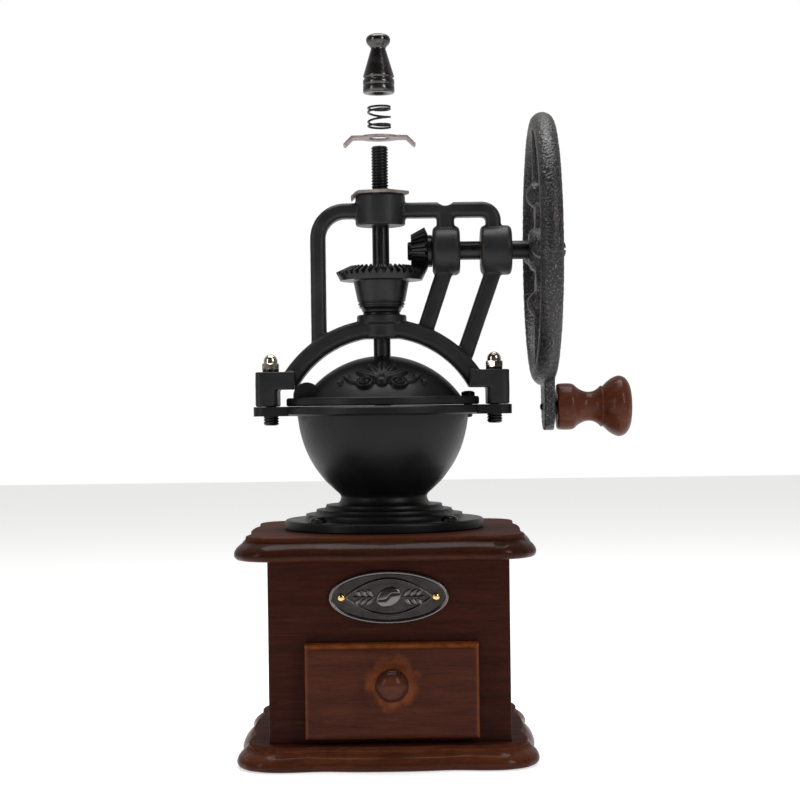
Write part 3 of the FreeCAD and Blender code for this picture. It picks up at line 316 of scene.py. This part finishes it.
def plate_painted_shade(p):
    # Painted shade: the top plate's rounded edge is coloured darker than its face, and the base darker towards its
    # bottom.
    z = p.axes()[2]
    edge = p.math("MULTIPLY", p.span(z, 0.085, 0.091), p.span(z, 0.1018, 0.0996))
    low = p.span(z, 0.0030, 0.0, 0.0, 0.35)
    return p.math("MAXIMUM", p.math("MULTIPLY", edge, 0.50), low)


def knob_painted_shade(p):
    # Painted shade: darker round the shoulder of the drawer knob.
    x, y, z = p.axes()[0], p.axes()[1], p.axes()[2]
    off = p.math("SUBTRACT", x, DRAWER_X)
    dz = p.math("SUBTRACT", z, DRAWER_KNOB_Z)
    dist = p.math("SQRT", p.math("ADD", p.math("MULTIPLY", off, off), p.math("MULTIPLY", dz, dz)))
    rim = p.span(dist, 0.0030, 0.0078, 0.12, 0.62)
    return p.math("MULTIPLY", rim, p.span(x, 0.050, 0.040))


def plate_dull(p):
    # The flat upper faces and the shallow slope beside them are rubbed, the round edge is glossy.
    z = p.axes()[2]
    base = p.math("MULTIPLY", p.span(z, 0.0064, 0.0082), p.span(z, 0.0150, 0.0120))
    return p.math("MAXIMUM", base, p.span(z, 0.0985, 0.1005))


paints = {
    "wood_plate": wood("wood_plate", (0.030, 0.0084, 0.0044), (0.062, 0.0165, 0.0076), (0.105, 0.028, 0.0115),
                       seed=3.1, coat=0.15, coat_rough=0.05, spec=0.04, glow=plate_painted_highlight,
                       glow_color=(0.20, 0.055, 0.016), shade=plate_painted_shade, dull=plate_dull),
    "wood_cabinet": wood("wood_cabinet", (0.021, 0.0060, 0.0040), (0.037, 0.0096, 0.0060), (0.055, 0.0145, 0.0083),
                         seed=7.7, gloss=0.40, coat=0.03, coat_rough=0.16, spec=0.03),
    "wood_drawer": wood("wood_drawer", (0.035, 0.0098, 0.0056), (0.059, 0.0158, 0.0082), (0.086, 0.0240, 0.0112),
                        seed=1.9, glow=drawer_painted_highlight_and_halo, gloss=0.38, coat=0.05, coat_rough=0.14, spec=0.05),
    "wood_knob": wood("wood_knob", (0.050, 0.0130, 0.0062), (0.088, 0.0240, 0.0115), (0.130, 0.040, 0.019),
                      along=(1.0, 5.0, 5.0), base=120.0, seed=5.3, gloss=0.38, coat=0.18, coat_rough=0.08, spec=0.06,
                      shade=knob_painted_shade),
    "wood_raw": wood("wood_raw", (0.22, 0.12, 0.06), (0.34, 0.20, 0.10), (0.46, 0.29, 0.16), seed=9.2, gloss=0.6,
                     coat=0.0),
    "iron_satin": satin_iron("iron_satin"),
    "iron_hammered": hammered_iron("iron_hammered"),
    "steel_black": turned_steel("steel_black", (0.030, 0.029, 0.030), 0.30, "Z"),
    "steel_burr": turned_steel("steel_burr", (0.16, 0.16, 0.165), 0.38, "Z"),
    "steel_bright": turned_steel("steel_bright", (0.50, 0.49, 0.48), 0.32, "Z"),
    "plate_enamel": gunmetal_painted_highlight("plate_enamel"),
    "plate_steel": stamped_zinc("plate_steel"),
    "spring_steel": bright_metal("spring_steel", (0.028, 0.028, 0.030), 0.30, 0.8),
    "nut_polished": turned_steel("nut_polished", (0.085, 0.080, 0.080), 0.17, "Z", 0.92, 0.8, 3200.0),
    "nickel": bright_metal("nickel", (0.70, 0.60, 0.51), 0.13),
    "brass": bright_metal("brass", (0.83, 0.56, 0.22), 0.16),
    "bronze": bright_metal("bronze", (0.45, 0.28, 0.14), 0.35),
}

slot_of = {s["node"]: s["material_slot"] for s in frame["record"]["subparts"]}
for name, obj in nodes.items():
    paint = paints[slot_of[name]]
    if not obj.data.materials:
        obj.data.materials.append(paint)
    for i in range(len(obj.material_slots)):
        obj.material_slots[i].material = paint

# The side panels' grain runs front to back.
side_wood = wood("wood_side", (0.022, 0.0066, 0.0046), (0.039, 0.0108, 0.0070), (0.058, 0.0160, 0.0095),
                 along=(12.0, 1.0, 12.0), seed=4.4, gloss=0.40, coat=0.04, coat_rough=0.16, spec=0.05)
for name in ("left_panel", "right_panel"):
    for i in range(len(nodes[name].material_slots)):
        nodes[name].material_slots[i].material = side_wood

# ---- shaped pieces ------------------------------------------------------
CABINET_X = 2.0 * MM       # the cabinet stands off the spindle by this
DOME_R = 44.9
DOME_Z = 138.6
CREST_ELEV = math.radians(55.0)


def grid_mesh(name, rows, wrap=False, cap=False):
    """Rows of points joined into a quad surface; wrap closes each row, cap fills the first and last rows."""
    count = len(rows[0])
    verts = [v for row in rows for v in row]
    faces = []
    for i in range(len(rows) - 1):
        for j in range(count if wrap else count - 1):
            k = (j + 1) % count
            faces.append((i * count + j, i * count + k, (i + 1) * count + k, (i + 1) * count + j))
    if cap:
        faces.append(tuple(reversed(range(count))))
        faces.append(tuple((len(rows) - 1) * count + j for j in range(count)))
    mesh = bpy.data.meshes.new(name)
    mesh.from_pydata([tuple(v) for v in verts], [], faces)
    return add_piece(name, mesh)


def add_piece(name, mesh):
    bm = bmesh.new()
    bm.from_mesh(mesh)
    bmesh.ops.recalc_face_normals(bm, faces=bm.faces)
    bm.to_mesh(mesh)
    bm.free()
    mesh.polygons.foreach_set("use_smooth", [True] * len(mesh.polygons))
    obj = bpy.data.objects.new(name, mesh)
    bpy.context.scene.collection.objects.link(obj)
    return obj


def finish_piece(obj, slot_name, body, *stands_for):
    obj.data.materials.clear()
    obj.data.materials.append(paints[slot_name])
    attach(obj, body)
    if stands_for:
        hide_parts(*stands_for)


def recast(node, name, voxel, rounds, offset=None):
    """A CAD node remeshed and relaxed so its corners carry the soft radii of a casting."""
    source = nodes[node]
    copy = bpy.data.objects.new(name + "_work", source.data.copy())
    bpy.context.scene.collection.objects.link(copy)
    copy.matrix_world = source.matrix_world
    mod = copy.modifiers.new("remesh", "REMESH")
    mod.mode = "VOXEL"
    mod.voxel_size = voxel / source.matrix_world.to_scale()[0]
    relax = copy.modifiers.new("relax", "SMOOTH")
    relax.factor = 0.5
    relax.iterations = rounds
    bpy.context.view_layer.update()
    graph = bpy.context.evaluated_depsgraph_get()
    mesh = bpy.data.meshes.new_from_object(copy.evaluated_get(graph))
    mesh.transform(copy.matrix_world)
    mesh.name = name
    bpy.data.objects.remove(copy)
    if offset is not None:
        mesh.update()
        moved = [v.co + v.normal * offset(v.co) for v in mesh.vertices]
        for v, co in zip(mesh.vertices, moved):
            v.co = co
    return add_piece(name, mesh)


def ellipse_at(x, y, cx, cy, a, b, turn):
    """0 at the centre of a turned ellipse, 1 on its edge."""
    c = math.cos(turn)
    s = math.sin(turn)
    u = (x - cx) * c + (y - cy) * s
    v = -(x - cx) * s + (y - cy) * c
    return math.hypot(u / a, v / b), u, v


def crest_height(x, y):
    best = 0.0
    # a fan of five leaves
    for deg, reach, wide in ((0, 8.0, 2.7), (32, 7.4, 2.4), (-32, 7.4, 2.4), (64, 7.4, 2.2), (-64, 7.4, 2.2)):
        a = math.radians(90 - deg)
        d, u, v = ellipse_at(x, y, math.cos(a) * reach, -5.5 + math.sin(a) * reach, reach * 0.90, wide, a)
        if d < 1.0:
            best = max(best, 2.5 * math.sqrt(1.0 - d * d) - 1.1 * math.exp(-(v / 0.5) ** 2) * (1.0 - d))
    # two scrolls under it and a trailing bud each side
    for side in (-1, 1):
        dx = x - side * 6.2
        dy = y + 7.6
        r = math.hypot(dx, dy)
        if r < 4.0:
            turn = math.atan2(dy, side * dx)
            coil = 0.5 + 0.5 * math.cos(2.0 * math.pi * (r / 1.75 - turn / (2.0 * math.pi)))
            best = max(best, (0.7 + 1.3 * coil) * min(1.0, (4.0 - r) / 0.6))
        for k, (cx, cy, a, b) in enumerate(((11.8, -6.4, 3.6, 1.7), (15.3, -3.8, 2.6, 1.5), (16.6, -7.6, 2.2, 1.3))):
            d, u, v = ellipse_at(x, y, side * cx, cy, a, b, side * math.radians(24 + 22 * k))
            if d < 1.0:
                best = max(best, 1.9 * math.sqrt(1.0 - d * d) - 0.5 * math.exp(-(v / 0.35) ** 2) * (1.0 - d))
    d = math.hypot(x, y + 7.2)
    if d < 2.6:
        best = max(best, 2.6 * math.sqrt(1.0 - (d / 2.6) ** 2))
    return best


crest_rows = []
for i in range(111):
    t = -13.0 + 26.0 * i / 110.0
    elev = CREST_ELEV + t / DOME_R
    row = []
    for j in range(181):
        x = -20.0 + 40.0 * j / 180.0
        azim = x / (DOME_R * math.cos(CREST_ELEV))
        r = (DOME_R - 0.2 + crest_height(x, t)) * MM
        row.append(Vector((r * math.cos(elev) * math.sin(azim), -r * math.cos(elev) * math.cos(azim),
                           DOME_Z * MM + r * math.sin(elev))))
    crest_rows.append(row)
finish_piece(grid_mesh("lid_crest", crest_rows), "iron_satin", "lid")


def badge_height(x, z):
    e = math.hypot(x / BADGE_W, z / BADGE_H)
    slope = math.hypot(x / BADGE_W ** 2, z / BADGE_H ** 2) / max(e, 1e-6)
    edge = (1.0 - e) / max(slope, 1e-6)
    h = 1.0
    if edge < 1.7:
        h += 0.85 * math.sin(math.pi * min(1.0, (edge + 0.25) / 1.95)) ** 0.7
    lens = abs(abs(z) - 7.9 * (1.0 - (x / 19.2) ** 2))
    if abs(x) < 19.2:
        h += 0.45 * math.exp(-(lens / 0.42) ** 2)
    d, u, v = ellipse_at(x, z, 0.0, 0.0, 5.8, 4.1, math.radians(25))
    if d < 1.0:
        crease = abs(v - 0.55 * math.sin(u * 0.95))
        h += 1.15 * math.sqrt(1.0 - d * d) - 0.75 * math.exp(-(crease / 0.4) ** 2) * (1.0 - d ** 4)
    for side in (-1, 1):
        h += 0.30 * math.exp(-(z / 0.35) ** 2) * (1.0 if 6.0 < side * x < 15.6 else 0.0)
        for step, cx in enumerate((8.3, 11.0, 13.6)):
            for up in (-1, 1):
                d, u, v = ellipse_at(x, z, side * cx, up * 1.9, 2.3 - 0.25 * step, 0.95, side * up * math.radians(42))
                if d < 1.0:
                    h = max(h, 1.0 + 0.75 * math.sqrt(1.0 - d * d) - 0.2 * math.exp(-(v / 0.18) ** 2))
    return h


badge_rows = []
for i in range(111):
    rho = max(0.002, i / 110.0)
    row = []
    for j in range(320):
        a = 2.0 * math.pi * j / 320.0
        x = BADGE_W * rho * math.cos(a)
        z = BADGE_H * rho * math.sin(a)
        row.append(Vector((CABINET_X + x * MM, (-53.75 - badge_height(x, z)) * MM, (BADGE_Z + z) * MM)))
    badge_rows.append(row)
badge_rows.append([Vector((v.x, -53.75 * MM, v.z)) for v in badge_rows[-1]])
finish_piece(grid_mesh("nameplate_relief", badge_rows, wrap=True, cap=True), "plate_enamel", "stand", "nameplate")


def cast_skin(co):
    return noise.noise(co * 300.0) * 0.00006 + noise.noise(co * 900.0) * 0.00003


def hammer_skin(co):
    cell = noise.voronoi(co * 560.0)[0][0]
    return (cell - 0.35) * 0.00027 + noise.noise(co * 1100.0) * 0.00009


yoke = recast("yoke_frame", "yoke_casting", 0.00050, 3, cast_skin)
finish_piece(yoke, "iron_satin", "stand", "yoke_frame")
# Painted highlight: the yoke gets a lighter copy of the satin iron, standing in for light on its flat faces.
yoke.data.materials[0] = satin_iron("iron_yoke_lit_copy", (0.0185, 0.0177, 0.0186), 0.38, 0.00005, 0.24)
finish_piece(recast("hand_wheel", "wheel_casting", 0.00050, 3, hammer_skin), "iron_hammered", "crank", "hand_wheel")
finish_piece(recast("lock_plate", "lock_plate_formed", 0.00022, 20), "plate_steel", "lock_plate", "lock_plate")


def turned(name, outline, along="Z", height=0.0):
    """A body of revolution from (radius, distance) in mm, about Z or about the X line at a height."""
    rows = []
    for r, d in outline:
        row = []
        for j in range(96):
            a = 2.0 * math.pi * j / 96.0
            if along == "Z":
                row.append(Vector((r * math.cos(a) * MM, r * math.sin(a) * MM, d * MM)))
            else:
                row.append(Vector((d * MM, r * math.cos(a) * MM, height + r * math.sin(a) * MM)))
        rows.append(row)
    rows.append([v.copy() for v in rows[0]])
    obj = grid_mesh(name, rows, wrap=True)
    bm = bmesh.new()
    bm.from_mesh(obj.data)
    bmesh.ops.remove_doubles(bm, verts=bm.verts, dist=1e-7)
    bmesh.ops.recalc_face_normals(bm, faces=bm.faces)
    bm.to_mesh(obj.data)
    bm.free()
    return obj


def smooth_outline(points, sharp=()):
    """Catmull-Rom through (radius, distance) points; spans whose start index is in sharp stay straight."""
    out = []
    for i in range(len(points) - 1):
        p0 = points[max(i - 1, 0)]
        p1 = points[i]
        p2 = points[i + 1]
        p3 = points[min(i + 2, len(points) - 1)]
        if i in sharp:
            out.append(p1)
            continue
        for k in range(5):
            t = k / 5.0
            out.append(tuple(0.5 * (2 * b + (c - a) * t + (2 * a - 5 * b + 4 * c - d) * t * t
                                    + (3 * b - a - 3 * c + d) * t ** 3)
                             for a, b, c, d in zip(p0, p1, p2, p3)))
    out.append(points[-1])
    return out


NUT_LINES = []
for k in range(26):
    NUT_LINES.append((7.28 - 3.2 * (k / 25.0) - 0.05 * (k % 2), 315.9 + 10.7 * k / 25.0))
nut_outline = ([(4.0, 322.9), (4.0, 307.6), (7.0, 307.6), (7.45, 308.1), (7.45, 310.9), (7.22, 311.15), (7.22, 311.45),
                (7.45, 311.7), (7.42, 313.7), (6.85, 314.1), (6.85, 314.8), (7.3, 315.2)] + NUT_LINES
               + smooth_outline([(3.9, 327.2), (3.5, 328.6), (3.9, 329.4), (5.25, 331.0), (5.75, 332.7), (5.2, 334.3),
                                 (3.3, 335.4), (0.3, 335.8)]) + [(0.05, 335.8), (0.05, 322.9)])
finish_piece(turned("nut_turned", nut_outline), "nut_polished", "top_nut", "top_nut")
grip_outline = ([(3.05, 82.1), (10.2, 82.1)]
                + smooth_outline([(10.8, 82.7), (11.0, 85.5), (10.9, 88.6), (10.3, 90.2), (9.3, 91.3), (8.2, 92.8),
                                  (7.1, 95.3), (6.9, 97.8), (7.4, 99.8), (8.6, 101.7), (9.5, 102.6), (9.7, 103.2),
                                  (9.35, 103.6), (9.9, 104.2), (11.9, 106.3), (13.6, 108.9), (14.35, 111.6),
                                  (13.3, 114.3), (10.6, 116.2), (7.4, 117.0), (5.0, 117.1)])
                + [(5.0, 112.4), (3.05, 112.4)])
finish_piece(turned("handle_grip", grip_outline, "X", HANDLE_Z), "wood_knob", "grip", "handle_knob")


def threaded_bar(name, outline, thread_z0, thread_z1, pitch, depth, x=0.0):
    """A turned bar from (radius, height) in mm whose thread is a true helix between two heights."""
    levels = []
    for (r0, z0), (r1, z1) in zip(outline, outline[1:]):
        fine = 0.11 if z1 > thread_z0 and z0 < thread_z1 else 4.0
        steps = max(1, int(math.ceil((z1 - z0) / fine)))
        for k in range(steps):
            f = k / steps
            levels.append((r0 + (r1 - r0) * f, z0 + (z1 - z0) * f))
    levels.append(outline[-1])
    rows = []
    for r, z in levels:
        row = []
        for j in range(56):
            a = 2.0 * math.pi * j / 56.0
            dip = 0.0
            if thread_z0 < z < thread_z1:
                phase = ((z - thread_z0) / pitch - j / 56.0) % 1.0
                ends = min(1.0, (z - thread_z0) / 0.6, (thread_z1 - z) / 0.6)
                dip = depth * ends * (1.0 - min(1.0, abs(phase - 0.5) * 3.2))
                dip = max(0.0, dip)
            row.append(Vector(((x + (r - dip) * math.cos(a)) * MM, (r - dip) * math.sin(a) * MM, z * MM)))
        rows.append(row)
    return grid_mesh(name, rows, wrap=True, cap=True)


spindle_outline = [(2.9, 86.0), (3.5, 86.6), (3.5, 103.4), (4.0, 103.41), (4.0, 117.4), (5.6, 117.41), (5.6, 119.4),
                   (4.0, 121.0), (4.0, 256.6), (3.95, 257.0), (3.95, 281.7), (3.2, 282.4)]
finish_piece(threaded_bar("spindle_turned", spindle_outline, 256.8, 281.9, 1.411, 0.66), "steel_black",
             "spindle_group", "spindle")
stud_outline = [(2.6, 151.2), (3.3, 151.6), (3.6, 152.1), (3.6, 160.0), (2.4, 160.01), (2.4, 182.2)]
for tag, x in (("left", -52.8), ("right", 52.8)):
    finish_piece(threaded_bar("stud_" + tag, stud_outline, 151.9, 156.8, 1.27, 0.5, x), "steel_black", "stand",
                 "yoke_studs")

spring_rows = []
COIL_R = 5.125
WIRE_R = 0.525
path = []
for i in range(4 * 40 + 1):
    u = i / 40.0
    if u <= 1.0:
        h = 1.12 * u
    elif u <= 3.0:
        f = (u - 1.0) / 2.0
        h = 1.12 + 2.24 * f + 5.17 * (f * f * (3.0 - 2.0 * f))
    else:
        h = 8.53 + 1.12 * (u - 3.0)
    a = 2.0 * math.pi * u
    path.append(Vector((COIL_R * math.cos(a), COIL_R * math.sin(a), 291.0 + WIRE_R + h)))
for i, here in enumerate(path):
    ahead = (path[min(i + 1, len(path) - 1)] - path[max(i - 1, 0)]).normalized()
    out = Vector((here.x, here.y, 0.0)).normalized()
    up = ahead.cross(out).normalized()
    out = up.cross(ahead)
    ring = []
    for j in range(12):
        a = 2.0 * math.pi * j / 12.0
        ring.append((here + out * (WIRE_R * math.cos(a)) + up * (WIRE_R * math.sin(a))) * MM)
    spring_rows.append(ring)
spring = grid_mesh("spring_coil", spring_rows, wrap=True, cap=True)
finish_piece(spring, "spring_steel", "lock_spring", "lock_spring")
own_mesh(spring)

# ---- stage --------------------------------------------------------------
FLOOR_GLOW = 0.60          # lifts the pale floor to the white of the backdrop
bpy.ops.mesh.primitive_plane_add(size=6.0, location=(0, 0, -0.0002))
floor = bpy.context.object
floor.name = "studio_floor"
fp = Paint("studio_floor")
shade = fp.noise(3.0, None, 2.0)
fp.done(fp.ramp(shade, [(0.3, (0.80, 0.80, 0.80)), (0.7, (0.82, 0.82, 0.82))]), 0.85)
fp.bsdf.inputs["Specular IOR Level"].default_value = 0.1
fp.bsdf.inputs["Emission Color"].default_value = (1.0, 1.0, 1.0, 1.0)
fp.bsdf.inputs["Emission Strength"].default_value = FLOOR_GLOW
floor.data.materials.append(fp.mat)

world = bpy.data.worlds.new("studio")
bpy.context.scene.world = world
world.use_nodes = True
wt = world.node_tree
wt.nodes.clear()
w_out = wt.nodes.new("ShaderNodeOutputWorld")
w_mix = wt.nodes.new("ShaderNodeMixShader")
w_seen = wt.nodes.new("ShaderNodeBackground")
w_light = wt.nodes.new("ShaderNodeBackground")
w_path = wt.nodes.new("ShaderNodeLightPath")
w_coord = wt.nodes.new("ShaderNodeTexCoord")
w_sep = wt.nodes.new("ShaderNodeSeparateXYZ")
w_map = wt.nodes.new("ShaderNodeMapRange")
w_seen.inputs[0].default_value = (1.0, 1.0, 1.0, 1.0)
w_seen.inputs[1].default_value = 1.0
w_light.inputs[0].default_value = (1.0, 0.985, 0.97, 1.0)
w_map.inputs["From Min"].default_value = -0.35
w_map.inputs["From Max"].default_value = 0.9
w_map.inputs["To Min"].default_value = 0.035
w_map.inputs["To Max"].default_value = 0.62
wt.links.new(w_coord.outputs["Generated"], w_sep.inputs[0])
wt.links.new(w_sep.outputs["Y"], w_map.inputs["Value"])
wt.links.new(w_map.outputs[0], w_light.inputs[1])
wt.links.new(w_path.outputs["Is Camera Ray"], w_mix.inputs[0])
wt.links.new(w_light.outputs[0], w_mix.inputs[1])
wt.links.new(w_seen.outputs[0], w_mix.inputs[2])
wt.links.new(w_mix.outputs[0], w_out.inputs[0])


def softbox(name, place, target, width, height, power, tint=(1, 1, 1)):
    data = bpy.data.lights.new(name, "AREA")
    data.shape = "RECTANGLE"
    data.size = width
    data.size_y = height
    data.energy = power
    data.color = tint
    obj = bpy.data.objects.new(name, data)
    bpy.context.scene.collection.objects.link(obj)
    obj.location = place
    aim = Vector(target) - Vector(place)
    obj.rotation_euler = aim.to_track_quat("-Z", "Y").to_euler()
    return obj


softbox("key_right", (0.62, -0.70, 0.60), (0.0, 0.0, 0.15), 0.22, 0.60, 3.3)
softbox("fill_left", (-0.75, -0.55, 0.40), (0.0, 0.0, 0.15), 0.20, 0.70, 1.6)
softbox("top", (0.0, 0.10, 1.05), (0.0, 0.0, 0.1), 0.8, 0.6, 9.0)

# ---- camera -------------------------------------------------------------
cam_data = bpy.data.cameras.new("camera")
cam_data.sensor_width = 36.0
cam_data.lens = 82.35
cam_data.shift_y = 0.005
cam_data.clip_start = 0.05
camera = bpy.data.objects.new("camera", cam_data)
bpy.context.scene.collection.objects.link(camera)
ROLL = math.radians(-0.75)
camera.matrix_world = (Matrix.Translation((0.0081, -0.865, 0.1606))
                       @ Matrix.Rotation(math.radians(90.0), 4, "X") @ Matrix.Rotation(ROLL, 4, "Z"))
bpy.context.scene.camera = camera
bpy.context.scene.view_settings.view_transform = "Standard"
bpy.context.scene.view_settings.look = "None"
